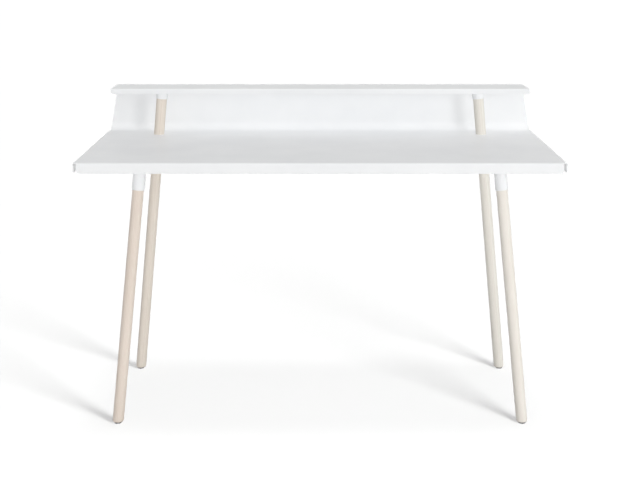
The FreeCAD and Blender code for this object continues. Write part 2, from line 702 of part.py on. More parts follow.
for item in doc.Objects:
    if "Invalid" in item.State or "Error" in item.State:
        raise RuntimeError(f"{item.Name} did not build: {item.State}")
for item in nodes:
    item.Label = item.Name
    if item.Shape.isNull() or not item.Shape.isValid():
        raise RuntimeError(f"{item.Label} has no valid shape")

os.makedirs("parts", exist_ok=True)
for item in nodes:
    item.Shape.exportStep(f"parts/{item.Label}.step")
    print(f"{item.Label}: {len(item.Shape.Solids)} solid(s), {item.Shape.Volume / 1000:.1f} cm3")
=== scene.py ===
# %% [markdown]
# # A desk on two levels
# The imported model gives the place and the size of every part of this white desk. In this lesson
# each part is modelled again with the small things that an eye notices: folds, rounded edges,
# weld beads, threads and wood grain. The frame is opened first, because everything is measured
# against it.

# %% Open the frame
import math

import bmesh
import bpy
from mathutils import Matrix, Vector


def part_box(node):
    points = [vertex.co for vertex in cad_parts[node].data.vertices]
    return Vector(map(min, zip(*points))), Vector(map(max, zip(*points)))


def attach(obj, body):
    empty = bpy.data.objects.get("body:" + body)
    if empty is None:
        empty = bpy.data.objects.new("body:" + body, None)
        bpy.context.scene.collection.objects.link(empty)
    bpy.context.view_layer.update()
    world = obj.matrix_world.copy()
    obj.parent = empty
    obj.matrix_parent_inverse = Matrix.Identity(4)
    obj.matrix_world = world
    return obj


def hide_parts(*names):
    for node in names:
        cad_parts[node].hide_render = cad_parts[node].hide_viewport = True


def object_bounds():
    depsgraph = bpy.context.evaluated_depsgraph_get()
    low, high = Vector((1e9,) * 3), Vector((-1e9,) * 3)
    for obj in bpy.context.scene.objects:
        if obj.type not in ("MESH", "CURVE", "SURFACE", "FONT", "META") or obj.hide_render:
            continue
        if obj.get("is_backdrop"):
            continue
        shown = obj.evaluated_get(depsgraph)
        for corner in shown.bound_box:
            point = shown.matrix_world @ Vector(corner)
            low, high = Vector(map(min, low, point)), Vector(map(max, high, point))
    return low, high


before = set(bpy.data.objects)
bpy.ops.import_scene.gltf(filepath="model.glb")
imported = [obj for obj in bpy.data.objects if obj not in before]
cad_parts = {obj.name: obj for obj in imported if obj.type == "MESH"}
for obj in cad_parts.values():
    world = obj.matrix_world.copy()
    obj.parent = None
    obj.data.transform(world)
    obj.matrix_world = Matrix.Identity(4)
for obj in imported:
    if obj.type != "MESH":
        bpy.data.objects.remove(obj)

cad_box = [list(corner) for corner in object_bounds()]
print("CAD box, metres:", cad_box)

# %% [markdown]
# ## The camera
# The desk is seen square from the front, through a long lens, by someone who stands about three and
# a half metres away with the eyes forty centimetres above the shelf. A level camera with a strong
# shift would keep the legs' lean exactly as in an architect's picture, but every other view would
# slip out of the frame, so the camera looks down a little and only a small shift is left.

# %% Camera
image_width = 640.0
lens_pixels = 1340.0
camera_back = 3.790
camera_height = 1.318
look_down = 11.22

camera_data = bpy.data.cameras.new("desk_camera")
camera_data.sensor_width = 36.0
camera_data.lens = lens_pixels / image_width * camera_data.sensor_width
camera_data.shift_y = -0.05
camera_data.dof.use_dof = False
camera = bpy.data.objects.new("desk_camera", camera_data)
camera.location = (0.0, -camera_back, camera_height)
camera.rotation_euler = (math.radians(90.0 - look_down), 0.0, 0.0)
bpy.context.scene.collection.objects.link(camera)
bpy.context.scene.camera = camera
print("lens, mm:", round(camera_data.lens, 2))

# %% [markdown]
# ## The room
# Product pictures like this one are taken in a white room. A world of one even white would do, but
# the left edges of the round legs are darker than the right ones, and the panel grows a little
# darker towards the shelf above it. So this world is brighter to the right, in front and overhead
# than on the other sides. The camera, and whatever mirrors the room or is seen through, gets plain
# white instead.

# %% Helpers for nodes
def add_node(tree, kind, **settings):
    """Add a node and set the node's own settings by name."""
    node = tree.nodes.new(kind)
    for word, value in settings.items():
        setattr(node, word, value)
    return node


def calculate(tree, operation, first, second):
    """One sum on two values; each is a socket or a number."""
    node = add_node(tree, "ShaderNodeMath", operation=operation)
    for socket, value in zip(node.inputs, (first, second)):
        if isinstance(value, bpy.types.NodeSocket):
            tree.links.new(value, socket)
        else:
            socket.default_value = value
    return node.outputs[0]


def seen_directly(tree):
    """1 where a ray comes from the camera, a reflection or clear glass, and 0 elsewhere."""
    path = add_node(tree, "ShaderNodeLightPath")
    seen = calculate(tree, "MAXIMUM", path.outputs["Is Camera Ray"], path.outputs["Is Glossy Ray"])
    return calculate(tree, "MAXIMUM", seen, path.outputs["Is Transmission Ray"])


print("node helpers ready")

# %% Room
room_level = 0.27
room_lowest = 0.12
room_slope = (0.36, -0.24, 0.25)

room = bpy.data.worlds.new("white_room")
room.use_nodes = True
bpy.context.scene.world = room
tree = room.node_tree
direction = add_node(tree, "ShaderNodeTexCoord")
slope = add_node(tree, "ShaderNodeVectorMath", operation="DOT_PRODUCT")
slope.inputs[1].default_value = room_slope
tree.links.new(direction.outputs["Generated"], slope.inputs[0])
level = calculate(tree, "ADD", slope.outputs["Value"], room_level)
level = calculate(tree, "MAXIMUM", level, room_lowest)
white_level = add_node(tree, "ShaderNodeMix")
white_level.inputs["B"].default_value = 1.0
tree.links.new(level, white_level.inputs["A"])
tree.links.new(seen_directly(tree), white_level.inputs["Factor"])
tree.links.new(white_level.outputs["Result"], tree.nodes["Background"].inputs["Strength"])
tree.nodes["Background"].inputs["Color"].default_value = (1.0, 1.0, 1.0, 1.0)
bpy.context.scene.view_settings.view_transform = "Standard"
print("room light at the ceiling:", round(room_level + room_slope[2], 2))

# %% [markdown]
# ## The lamps
# Even the panel under the shelf is light and without a hard shadow, and it lights up the rear of
# the work surface, as under one very large soft light in front and a little above. A lamp that
# throws no shadow does the same here without the grain of a huge lamp. A weaker round lamp stands
# low on the right. Being near, it lights the right end of the panel more than the left, and it
# throws the soft shadows of the rear legs to the left. A level one behind keeps the back of the
# desk from looking dull. Seen low over the work surface, a lamp would leave a broad glare there, so
# the lamps are left out of reflections and the sheen comes from the white room.

# %% Lamps
def aim(rise, bearing):
    """The turn of a lamp that shines from a height and a side, both in degrees."""
    rise, bearing = math.radians(rise), math.radians(bearing)
    source = Vector((math.sin(bearing) * math.cos(rise),
                     -math.cos(bearing) * math.cos(rise),
                     math.sin(rise)))
    return source.to_track_quat("Z", "Y")


def hang_lamp(name, kind, energy, turn, place=(0.0, 0.0, 3.0)):
    """Make a lamp that reflections don't show; the place of a distant lamp doesn't matter."""
    data = bpy.data.lights.new(name, kind)
    data.energy = energy
    lamp = bpy.data.objects.new(name, data)
    lamp.rotation_mode = "QUATERNION"
    lamp.rotation_quaternion = turn
    lamp.location = place
    lamp.visible_glossy = False
    bpy.context.scene.collection.objects.link(lamp)
    print("lamp:", name)
    return lamp


front_fill = hang_lamp("front_fill", "SUN", energy=1.17, turn=aim(rise=40.0, bearing=5.0))
front_fill.data.use_shadow = False
rear_fill = hang_lamp("rear_fill", "SUN", energy=0.75, turn=aim(rise=0.0, bearing=180.0))
rear_fill.data.use_shadow = False

side_place = Vector((2.6, -3.9, 1.45))
panel_middle = Vector((0.0, 0.25, 0.8))
side_turn = (side_place - panel_middle).to_track_quat("Z", "Y")
side_lamp = hang_lamp("side_lamp", "AREA", energy=35.0, turn=side_turn, place=side_place)
side_lamp.data.shape = "DISK"
side_lamp.data.size = 1.0
side_lamp.visible_camera = False

# %% [markdown]
# ## The floor
# The floor has to be white and still keep the shadows of the legs. In this room it would be grey,
# so it has lamps of its own: a lamp can be told which objects it lights and which ones stand in its
# way. The one overhead leaves the faint patch under the desk. The low ones throw the shadows of the
# legs, which spread apart as if from a large lamp nearby on the right. Such a lamp would leave the
# far floor dark, so two distant ones share its work, one for each side's legs, which are added to
# their lists further down. Light that goes on from the floor to the desk is kept lower than what
# the camera sees. From below the floor is clear, so that the underside can be looked at.

# %% Floor paint
def blend_colours(tree, amount, first, second):
    """Mix two colours; each is a socket or a plain colour."""
    node = add_node(tree, "ShaderNodeMix", data_type="RGBA")
    sockets = [item for item in node.inputs if item.type == "RGBA"]
    tree.links.new(amount, node.inputs["Factor"])
    for socket, colour in zip(sockets, (first, second)):
        if isinstance(colour, bpy.types.NodeSocket):
            tree.links.new(colour, socket)
        else:
            socket.default_value = (*colour, 1.0)
    return next(item for item in node.outputs if item.type == "RGBA")


bounce_grey = (0.24, 0.24, 0.24)
seen_grey = (0.38, 0.38, 0.38)

floor_paint = bpy.data.materials.new("studio_floor")
floor_paint.use_nodes = True
tree = floor_paint.node_tree
tree.nodes.clear()
floor_out = add_node(tree, "ShaderNodeOutputMaterial")
floor_matt = add_node(tree, "ShaderNodeBsdfDiffuse")
floor_tone = blend_colours(tree, seen_directly(tree), bounce_grey, seen_grey)
tree.links.new(floor_tone, floor_matt.inputs["Color"])
floor_side = add_node(tree, "ShaderNodeNewGeometry")
floor_clear = add_node(tree, "ShaderNodeBsdfTransparent")
floor_mix = add_node(tree, "ShaderNodeMixShader")
tree.links.new(floor_side.outputs["Backfacing"], floor_mix.inputs["Fac"])
tree.links.new(floor_matt.outputs[0], floor_mix.inputs[1])
tree.links.new(floor_clear.outputs[0], floor_mix.inputs[2])
tree.links.new(floor_mix.outputs[0], floor_out.inputs["Surface"])
print("floor paint:", floor_paint.name)

# %% Floor plane
floor_radius = 40.0
floor_mesh = bpy.data.meshes.new("studio_floor")
bm = bmesh.new()
bmesh.ops.create_circle(bm, cap_ends=True, segments=64, radius=floor_radius)
bm.to_mesh(floor_mesh)
bm.free()
floor_mesh.materials.append(floor_paint)
floor = bpy.data.objects.new("studio_floor", floor_mesh)
bpy.context.scene.collection.objects.link(floor)
floor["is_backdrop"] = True
print("floor faces up:", floor_mesh.polygons[0].normal.z > 0.0)

# %% Floor lamps
lit_floor = bpy.data.collections.new("lit_by_floor_lamps")
lit_floor.objects.link(floor)
ceiling_lamp = hang_lamp("ceiling_lamp", "SUN", energy=0.78, turn=aim(rise=90.0, bearing=0.0))
ceiling_lamp.data.angle = math.radians(14.0)
ceiling_lamp.light_linking.receiver_collection = lit_floor

floor_lamp_rise = 20.0
leg_shadows = {}
for side_name, energy, bearing, width in (("left", 7.6, 43.0, 18.0), ("right", 8.4, 27.0, 23.0)):
    floor_lamp = hang_lamp(f"floor_lamp_{side_name}", "SUN", energy, aim(floor_lamp_rise, bearing))
    floor_lamp.data.angle = math.radians(width)
    leg_shadows[side_name] = bpy.data.collections.new(f"shade_the_floor_{side_name}")
    floor_lamp.light_linking.receiver_collection = lit_floor
    floor_lamp.light_linking.blocker_collection = leg_shadows[side_name]

# %% [markdown]
# ## A way to write materials
# Every finish below is a node group that turns a place on the object into a colour, a roughness
# and a height, and a small material that hands these to the shader. One group can then serve many
# pieces, and each piece only says how its pattern is turned.

# %% Finish groups
def new_group(name, inputs=()):
    """A node group with a Vector input, more inputs by name, and the three finish outputs."""
    group = bpy.data.node_groups.new(name, "ShaderNodeTree")
    group.interface.new_socket(name="Vector", in_out="INPUT", socket_type="NodeSocketVector")
    for word, kind in inputs:
        group.interface.new_socket(name=word, in_out="INPUT", socket_type=kind)
    group.interface.new_socket(name="Color", in_out="OUTPUT", socket_type="NodeSocketColor")
    group.interface.new_socket(name="Roughness", in_out="OUTPUT", socket_type="NodeSocketFloat")
    group.interface.new_socket(name="Height", in_out="OUTPUT", socket_type="NodeSocketFloat")
    start = add_node(group, "NodeGroupInput")
    end = add_node(group, "NodeGroupOutput")
    return group, start, end


def hand_over(group, end, colour, roughness, height):
    """Link the three values of a finish to the outputs of its group."""
    group.links.new(colour, end.inputs["Color"])
    group.links.new(roughness, end.inputs["Roughness"])
    group.links.new(height, end.inputs["Height"])


def finish_material(name, group, bump_strength, bump_distance, metallic=0.0, shine=0.5):
    """A material that feeds one finish group to the shader; returned with its two pattern nodes."""
    material = bpy.data.materials.new(name)
    material.use_nodes = True
    tree = material.node_tree
    shader = tree.nodes["Principled BSDF"]
    shader.inputs["Metallic"].default_value = metallic
    shader.inputs["Specular IOR Level"].default_value = shine
    place = add_node(tree, "ShaderNodeTexCoord")
    mapping = add_node(tree, "ShaderNodeMapping", vector_type="TEXTURE")
    pattern = add_node(tree, "ShaderNodeGroup")
    pattern.node_tree = group
    bump = add_node(tree, "ShaderNodeBump")
    bump.inputs["Strength"].default_value = bump_strength
    bump.inputs["Distance"].default_value = bump_distance
    tree.links.new(place.outputs["Object"], mapping.inputs["Vector"])
    tree.links.new(mapping.outputs["Vector"], pattern.inputs["Vector"])
    tree.links.new(pattern.outputs["Color"], shader.inputs["Base Color"])
    tree.links.new(pattern.outputs["Roughness"], shader.inputs["Roughness"])
    tree.links.new(pattern.outputs["Height"], bump.inputs["Height"])
    tree.links.new(bump.outputs["Normal"], shader.inputs["Normal"])
    return material, mapping, pattern


print("finish helpers ready")

# %% Patterns
def stretched(tree, vector, scale, shift=(0.0, 0.0, 0.0)):
    """The same place, counted in finer or coarser steps along each direction."""
    node = add_node(tree, "ShaderNodeMapping")
    node.inputs["Scale"].default_value = scale
    node.inputs["Location"].default_value = shift
    tree.links.new(vector, node.inputs["Vector"])
    return node.outputs["Vector"]


def noise(tree, vector, scale=1.0, detail=2.0, roughness=0.5):
    """Cloudy values round 0.5; scale counts the clouds in a metre."""
    node = add_node(tree, "ShaderNodeTexNoise")
    node.inputs["Scale"].default_value = scale
    node.inputs["Detail"].default_value = detail
    node.inputs["Roughness"].default_value = roughness
    tree.links.new(vector, node.inputs["Vector"])
    return node.outputs["Fac"]


def spread(tree, value, low, high, new_low=0.0, new_high=1.0):
    """Stretch the part of a value between low and high to a new range, and clamp the rest."""
    node = add_node(tree, "ShaderNodeMapRange", clamp=True)
    node.inputs["From Min"].default_value = low
    node.inputs["From Max"].default_value = high
    node.inputs["To Min"].default_value = new_low
    node.inputs["To Max"].default_value = new_high
    tree.links.new(value, node.inputs["Value"])
    return node.outputs["Result"]


print("pattern helpers ready")

# %% [markdown]
# ## White powder coat
# The sheets, collars and rails are powder coated: a baked skin with a very fine ripple, like the
# skin of an orange, and a satin shine that is never quite even. A single white would look like
# paper, so a broad noise shifts the white a little, a middle one the shine, and two fine ones
# make the ripple.

# %% Powder coat
cool_white = (0.845, 0.853, 0.862)
full_white = (0.875, 0.882, 0.888)
speck_grey = (0.80, 0.805, 0.81)

coat, start, end = new_group("powder_coat")
place = start.outputs["Vector"]
drift = spread(coat, noise(coat, place, scale=7.0, detail=3.0), 0.35, 0.65)
specks = spread(coat, noise(coat, place, scale=900.0, detail=1.0), 0.70, 0.80, 0.0, 0.35)
tone = blend_colours(coat, drift, cool_white, full_white)
tone = blend_colours(coat, specks, tone, speck_grey)
satin = spread(coat, noise(coat, place, scale=32.0, detail=4.0), 0.3, 0.7, 0.36, 0.47)
ripple = calculate(coat, "MULTIPLY", noise(coat, place, scale=420.0, detail=2.0), 0.75)
grit = calculate(coat, "MULTIPLY", noise(coat, place, scale=1900.0, detail=1.0), 0.25)
hand_over(coat, end, tone, satin, calculate(coat, "ADD", ripple, grit))
white_coat, _, _ = finish_material("white_powder_coat", coat, bump_strength=0.18,
                                      bump_distance=0.0004, shine=0.3)
print("finish:", white_coat.name)

# %% [markdown]
# ## White-oiled wood
# The legs are pale straight-grained wood, rubbed with a white oil that stays in the pores. Boards
# show their year rings as long lines, so the pattern is a set of rings round a pith that lies
# outside the leg, bent a little by noise, with thin pores drawn out along the grain. Each leg was
# cut from another place in the plank: every leg turns and shifts the same group, and takes a tone
# of its own. The two left legs take darker, warmer tones than the right ones. That is painted shade
# on the legs that stand further from the light on the right.

# %% Year rings
pith_shift = (0.052, 0.018, 0.0)
ring_bend = 0.006

wood, start, end = new_group("white_oiled_wood", [("Pale", "NodeSocketColor"), ("Deep", "NodeSocketColor")])
place = start.outputs["Vector"]
wander = add_node(wood, "ShaderNodeTexNoise")
wander.inputs["Scale"].default_value = 1.0
wander.inputs["Detail"].default_value = 3.0
wood.links.new(stretched(wood, place, (26.0, 26.0, 2.2)), wander.inputs["Vector"])
push = add_node(wood, "ShaderNodeVectorMath", operation="SCALE")
push.inputs["Scale"].default_value = ring_bend
wood.links.new(wander.outputs["Color"], push.inputs[0])
bent = add_node(wood, "ShaderNodeVectorMath", operation="ADD")
wood.links.new(place, bent.inputs[0])
wood.links.new(push.outputs["Vector"], bent.inputs[1])
rings = add_node(wood, "ShaderNodeTexWave", wave_type="RINGS", rings_direction="Z", wave_profile="SAW")
rings.inputs["Scale"].default_value = 95.0
rings.inputs["Distortion"].default_value = 0.6
rings.inputs["Detail"].default_value = 2.0
round_pith = stretched(wood, bent.outputs["Vector"], (1.0, 1.0, 0.035), pith_shift)
wood.links.new(round_pith, rings.inputs["Vector"])
late_wood = spread(wood, rings.outputs["Fac"], 0.45, 1.0)
print("year rings in:", wood.name)

# %% Fibres, pores and tone
oil_white = (0.86, 0.84, 0.80)

fibre = noise(wood, stretched(wood, place, (1500.0, 1500.0, 22.0)), detail=3.0, roughness=0.6)
pores = noise(wood, stretched(wood, place, (2100.0, 2100.0, 60.0)), detail=1.0)
pores = spread(wood, pores, 0.60, 0.72)
broad = noise(wood, stretched(wood, place, (30.0, 30.0, 5.0)), detail=2.0)
broad = spread(wood, broad, 0.3, 0.7)
lines = calculate(wood, "MULTIPLY", late_wood, spread(wood, fibre, 0.3, 0.7, 0.35, 1.0))
lines = calculate(wood, "MULTIPLY", lines, 0.62)
depth = calculate(wood, "ADD", lines, calculate(wood, "MULTIPLY", broad, 0.26))
tone = blend_colours(wood, depth, start.outputs["Pale"], start.outputs["Deep"])
tone = blend_colours(wood, calculate(wood, "MULTIPLY", pores, 0.45), tone, oil_white)
matt = spread(wood, fibre, 0.3, 0.7, 0.52, 0.68)
ridges = calculate(wood, "MULTIPLY", fibre, 0.6)
relief = calculate(wood, "SUBTRACT", ridges, calculate(wood, "MULTIPLY", pores, 0.5))
hand_over(wood, end, tone, matt, relief)
print("finish:", wood.name)

# %% [markdown]
# ## Moulded plastic and plated steel
# The glides are moulded plastic with the fine sparked texture of the mould. Nuts, studs, screws
# and nails are zinc plated: a grey metal with a soft mottle from the bath and fine scratches. Both
# are small, so their patterns are small as well.

# %% Plastic
plastic_dark = (0.115, 0.115, 0.125)
plastic_worn = (0.19, 0.19, 0.195)

plastic, start, end = new_group("moulded_plastic")
place = start.outputs["Vector"]
grain = noise(plastic, place, scale=2600.0, detail=2.0)
scuff = spread(plastic, noise(plastic, place, scale=160.0, detail=4.0, roughness=0.65), 0.55, 0.75)
tone = blend_colours(plastic, scuff, plastic_dark, plastic_worn)
hand_over(plastic, end, tone, spread(plastic, grain, 0.3, 0.7, 0.5, 0.68), grain)
dark_plastic, _, _ = finish_material("moulded_grey_plastic", plastic, bump_strength=0.35,
                                        bump_distance=0.0002)
print("finish:", dark_plastic.name)

# %% Plating
zinc_blue = (0.66, 0.67, 0.69)
zinc_warm = (0.75, 0.75, 0.74)

plating, start, end = new_group("zinc_plating")
place = start.outputs["Vector"]
mottle = spread(plating, noise(plating, place, scale=420.0, detail=3.0), 0.35, 0.65)
scratch = noise(plating, stretched(plating, place, (700.0, 700.0, 5200.0)), detail=2.0)
tone = blend_colours(plating, mottle, zinc_blue, zinc_warm)
hand_over(plating, end, tone, spread(plating, scratch, 0.3, 0.7, 0.24, 0.42), scratch)
zinc, _, _ = finish_material("zinc_plated_steel", plating, bump_strength=0.12,
                                bump_distance=0.0001, metallic=1.0)
print("finish:", zinc.name)

# %% [markdown]
# ## A way to write pieces
# Each piece is a bmesh that becomes one object. The object stands for one part of the imported model,
# rides on its only body, and takes one material. To be sure that the new piece sits where the old
# one was, its box is compared with the imported one and the largest difference is printed.

# %% From bmesh to piece
def report_fit(piece, node):
    """Print how far the piece's box is from the box of the part that it stands for."""
    bpy.context.view_layer.update()
    shown = piece.evaluated_get(bpy.context.evaluated_depsgraph_get())
    corners = [Vector(corner) for corner in shown.bound_box]
    low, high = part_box(node)
    worst = 0.0
    for axis in range(3):
        values = [corner[axis] for corner in corners]
        worst = max(worst, abs(min(values) - low[axis]), abs(max(values) - high[axis]))
    print(f"{piece.name}: {len(shown.data.polygons)} faces, box within {worst * 1000:.2f} mm")


def piece_from(bm, name, finish, node, edge=0.0, wall=0.0):
    """Turn a bmesh into a finished piece; edge softens its edges, wall gives a skin thickness."""
    mesh = bpy.data.meshes.new(name)
    bm.to_mesh(mesh)
    bm.free()
    mesh.shade_smooth()
    mesh.materials.append(finish)
    piece = bpy.data.objects.new(name, mesh)
    bpy.context.scene.collection.objects.link(piece)
    if wall:
        thick = piece.modifiers.new("wall", "SOLIDIFY")
        thick.thickness = wall
        thick.offset = -1.0
        thick.use_even_offset = True
    if edge:
        soft = piece.modifiers.new("soft_edges", "BEVEL")
        soft.width = edge
        soft.segments = 2
        soft.limit_method = "ANGLE"
        soft.angle_limit = math.radians(50.0)
    shade = piece.modifiers.new("flat_faces", "WEIGHTED_NORMAL")
    shade.keep_sharp = False
    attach(piece, "root")
    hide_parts(node)
    report_fit(piece, node)
    return piece


print("piece helpers ready")

# %% Small mesh tools
def everything(bm):
    """All parts of a bmesh, for the operators that take mixed lists."""
    return bm.verts[:] + bm.edges[:] + bm.faces[:]


def new_verts(made):
    """The vertices in what an operator made."""
    return [item for item in made if isinstance(item, bmesh.types.BMVert)]


def new_edges(made):
    """The edges in what an operator made."""
    return [item for item in made if isinstance(item, bmesh.types.BMEdge)]


def add_part(bm, part, place):
    """Add a copy of a small bmesh to a larger one, moved by a matrix."""
    mesh = bpy.data.meshes.new("part")
    part.to_mesh(mesh)
    mesh.transform(place)
    bm.from_mesh(mesh)
    bpy.data.meshes.remove(mesh)


def turn_profile(points, steps):
    """Spin an outline of (radius, height) points about the upright axis."""
    bm = bmesh.new()
    verts = [bm.verts.new((radius, 0.0, height)) for radius, height in points]
    edges = [bm.edges.new(pair) for pair in zip(verts, verts[1:])]
    bmesh.ops.spin(bm, geom=verts + edges, cent=(0, 0, 0), axis=(0, 0, 1),
                   angle=math.tau, steps=steps, use_merge=True)
    bmesh.ops.remove_doubles(bm, verts=bm.verts[:], dist=1e-6)
    bmesh.ops.recalc_face_normals(bm, faces=bm.faces[:])
    return bm


def soften(bm, edges, width, segments):
    """Round edges, but never past the next edge."""
    bmesh.ops.bevel(bm, geom=edges, offset=width, offset_type="OFFSET", segments=segments,
                    profile=0.5, affect="EDGES", material=-1, clamp_overlap=True)


def round_corners(bm, verts, radius, segments=8):
    """Round the corners of a flat outline, or cut them off with one segment."""
    bmesh.ops.bevel(bm, geom=verts, offset=radius, offset_type="OFFSET", segments=segments,
                    profile=0.5, affect="VERTICES", material=-1, clamp_overlap=False)


print("mesh tools ready")

# %% [markdown]
# ## Where the legs stand
# Each leg leans out six degrees to the side and three to the front or the back. Everything on a
# leg, from the glide to the collars and their screws, is placed from its axis, and so are the holes
# in the work surface. The axis starts at the middle of the glide. Each leg gets the matrix that
# carries an upright shape onto its axis, and one function says where the axis passes a height.

# %% Leg axes
lean_side = math.tan(math.radians(6.0))
lean_fore = math.tan(math.radians(3.0))
stretch = math.sqrt(1.0 + lean_side ** 2 + lean_fore ** 2)
lean = math.acos(1.0 / stretch)

legs = {}
for side_name, side in (("left", -1), ("right", 1)):
    for end_name, fore in (("front", -1), ("rear", 1)):
        low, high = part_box(f"{end_name}_glide_{side_name}")
        foot = Vector(((low.x + high.x) / 2, (low.y + high.y) / 2, 0.0))
        hinge = Vector((fore * lean_fore, -side * lean_side, 0.0))
        legs[f"{end_name}_{side_name}"] = Matrix.Translation(foot) @ Matrix.Rotation(lean, 4, hinge)


def axis_at(leg, z):
    """Where a leg's axis passes a height."""
    return legs[leg] @ Vector((0.0, 0.0, z * stretch))


for leg in legs:
    print(leg, "foot at", [round(value, 4) for value in legs[leg].translation])

# %% [markdown]
# ## Folded sheets
# The work surface is one sheet of steel: its front edge and sides are folded down, and its back
# is rolled up into the panel that carries the shelf. A maker starts with a flat blank, cuts the
# corners away and folds. The mesh follows the same steps: a plane, straight cuts across it, the
# corners deleted, edges extruded into flanges, and then each fold line bevelled to the radius of
# the bend. Only the visible skin is modelled; a Solidify modifier gives the sheet its thickness.

# %% Blanks
sheet_gauge = 0.0025
bend = 0.005
sheet_edge = 0.0004
same_place = 1e-5


def flat_blank(low_x, high_x, low_y, high_y, z):
    """One flat face between two corners."""
    bm = bmesh.new()
    bmesh.ops.create_grid(bm, x_segments=1, y_segments=1, size=0.5)
    bmesh.ops.scale(bm, vec=(high_x - low_x, high_y - low_y, 1.0), verts=bm.verts[:])
    middle = ((low_x + high_x) / 2, (low_y + high_y) / 2, z)
    bmesh.ops.translate(bm, vec=middle, verts=bm.verts[:])
    return bm


def rule_lines(bm, axis, places):
    """Cut straight lines right across the blank."""
    for value in places:
        point = Vector((0.0, 0.0, 0.0))
        normal = Vector((0.0, 0.0, 0.0))
        point[axis] = value
        normal[axis] = 1.0
        bmesh.ops.bisect_plane(bm, geom=everything(bm), dist=1e-7, plane_co=point, plane_no=normal)


def cut_away(bm, is_waste):
    """Delete the faces whose middle lies in the waste."""
    waste = [face for face in bm.faces if is_waste(face.calc_center_median())]
    bmesh.ops.delete(bm, geom=waste, context="FACES")


print("sheet gauge, mm:", sheet_gauge * 1000)

# %% Folds
def row(bm, **places):
    """The edges that lie on the given planes, such as y=0.2, or side=0.6 for both sides."""
    def on_planes(co):
        found = {"x": co.x, "y": co.y, "z": co.z, "side": abs(co.x)}
        return all(abs(found[word] - value) < same_place for word, value in places.items())
    return [edge for edge in bm.edges if all(on_planes(vert.co) for vert in edge.verts)]


def corners_at(bm, side, z):
    """The corners that are as far out as side, on the left and the right, at one height."""
    return [vert for vert in bm.verts
            if abs(abs(vert.co.x) - side) < same_place and abs(vert.co.z - z) < same_place]


def fold_out(bm, edges, shift):
    """Extrude a row of edges into a flange and return the flange's new corners."""
    verts = new_verts(bmesh.ops.extrude_edge_only(bm, edges=edges)["geom"])
    bmesh.ops.translate(bm, vec=shift, verts=verts)
    return verts


def bend_fold(bm, edges, radius, segments):
    """Turn sharp fold lines into bends."""
    bmesh.ops.bevel(bm, geom=edges, offset=radius, offset_type="OFFSET", segments=segments,
                    profile=0.5, affect="EDGES", material=-1, clamp_overlap=False)


def face_up(bm):
    """Make every face point to the side that is painted and seen."""
    bmesh.ops.recalc_face_normals(bm, faces=bm.faces[:])
    level = max(bm.faces, key=lambda face: face.calc_area())
    if level.normal.z < 0.0:
        bmesh.ops.reverse_faces(bm, faces=bm.faces[:])


print("bend radius, mm:", bend * 1000)

# %% [markdown]
# ## The work surface
# The lip in front stops short of the ends and has rounded lower corners, and the back panel
# narrows a little towards the shelf. At its top it is folded forward once more, into a narrow
# flange for the bolts of the shelf. Where two bends meet, a maker leaves a narrow flat strip
# between the bend and the corner that is cut out, so that the sheet doesn't tear.

# %% Sizes of the work surface
desk_low, desk_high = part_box("desktop_sheet")
desk_half = desk_high.x
desk_front = desk_low.y
desk_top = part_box("front_socket_left")[1].z + sheet_gauge
desk_under = desk_top - sheet_gauge
cove = 0.025
side_flange = 0.026
return_flange = 0.020
lip_rounding = 0.009
lip_setback = 0.010
panel_inset = 0.004
flange_gap = 0.001
desk_strip = 0.0005

lip_end = desk_half - lip_setback
panel_face = desk_high.y - sheet_gauge
panel_foot = desk_half - bend - desk_strip
panel_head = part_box("shelf_sheet")[1].x - panel_inset
return_under = desk_high.z - sheet_gauge
flange_end = panel_face - cove - flange_gap
hole = axis_at("rear_right", desk_top - sheet_gauge / 2)
hole_radius = 0.0161
hole_frame = 0.027
print("leg holes at, mm:", round(hole.x * 1000, 2), round(hole.y * 1000, 2))

# %% Work surface
def desk_waste(middle):
    """The corners beside the front lip and beside the panel."""
    in_front = abs(middle.x) > lip_end and middle.y < desk_front + bend
    behind = abs(middle.x) > panel_foot and middle.y > flange_end
    return in_front or behind


bm = flat_blank(-desk_half, desk_half, desk_front, panel_face, desk_top)
for sign in (-1, 1):
    rule_lines(bm, 0, [sign * lip_end, sign * panel_foot])
    rule_lines(bm, 0, [sign * (hole.x - hole_frame), sign * (hole.x + hole_frame)])
rule_lines(bm, 1, [desk_front + bend + desk_strip, flange_end, hole.y - hole_frame, hole.y + hole_frame])
cut_away(bm, desk_waste)
fold_out(bm, row(bm, y=desk_front), (0, 0, desk_low.z - desk_top))
fold_out(bm, row(bm, side=desk_half), (0, 0, -side_flange))
panel_top = fold_out(bm, row(bm, y=panel_face), (0, 0, return_under - desk_top))
bmesh.ops.scale(bm, vec=(panel_head / panel_foot, 1, 1), verts=panel_top)
fold_out(bm, row(bm, z=return_under), (0, sheet_gauge - return_flange, 0))
bend_fold(bm, row(bm, y=desk_front, z=desk_top), bend, segments=6)
bend_fold(bm, row(bm, side=desk_half, z=desk_top), bend, segments=6)
bend_fold(bm, row(bm, y=panel_face, z=desk_top), cove, segments=14)
bend_fold(bm, row(bm, y=panel_face, z=return_under), bend - sheet_gauge, segments=5)
round_corners(bm, corners_at(bm, lip_end, desk_low.z), lip_rounding)
print("work surface folded:", len(bm.faces), "faces")

# %% [markdown]
# ## Holes for the rear legs
# The rear legs pass through two round holes near the back. A hole needs a ring of edges that fits
# into the square grid around it: the square is deleted, its border is divided finely, extruded
# inwards and pulled onto a circle.

